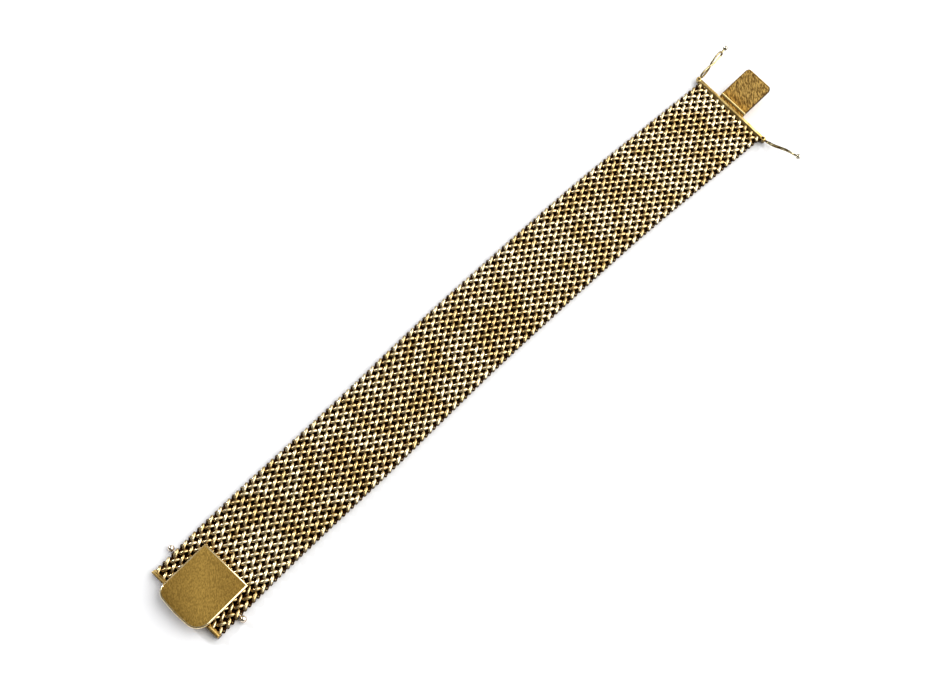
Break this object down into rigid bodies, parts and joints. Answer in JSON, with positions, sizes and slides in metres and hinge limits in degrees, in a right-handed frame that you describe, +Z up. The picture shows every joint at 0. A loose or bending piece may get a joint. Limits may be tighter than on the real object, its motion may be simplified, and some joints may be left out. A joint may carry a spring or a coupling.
{
  "type": "mesh bracelet with a box clasp",
  "caption": "Flat woven gold mesh bracelet, lying open with its back up, with a box clasp, a folded spring tongue and two figure-of-eight safety catches.",
  "frame": {"origin": "on the surface, under the middle of the band at the middle of its length", "axes": "+X along the band at its middle, towards the tongue; +Y across it, towards the outside of its bow; +Z up, out of the back of the mesh"},
  "size_m": [0.1991, 0.0365, 0.0051],
  "materials": {
    "mesh_gold": "polished links with dark gaps",
    "plate_gold": "matte, worn, with a bright rim",
    "tongue_gold": "brushed and scratched",
    "wire_gold": "polished"
  },
  "bodies": {
    "band": {"mesh_band": "mesh_gold", "clasp_box": "plate_gold", "stud_left": "wire_gold", "stud_right": "wire_gold", "clasp_tongue": "tongue_gold", "hinge_pin_left": "wire_gold", "hinge_pin_right": "wire_gold"},
    "catch_left": {"safety_catch_left": "wire_gold"},
    "catch_right": {"safety_catch_right": "wire_gold"}
  },
  "joints": [
    {"name": "catch_left_hinge", "type": "hinge", "parent": "band", "child": "catch_left", "pos_m": [0.09282, 0.00925, 0.00125], "axis": [0, 0, 1], "range_deg": [-6.5, 123.5]},
    {"name": "catch_right_hinge", "type": "hinge", "parent": "band", "child": "catch_right", "pos_m": [0.09148, -0.01441, 0.00125], "axis": [0, 0, 1], "range_deg": [-48.5, 81.5]}
  ]
}
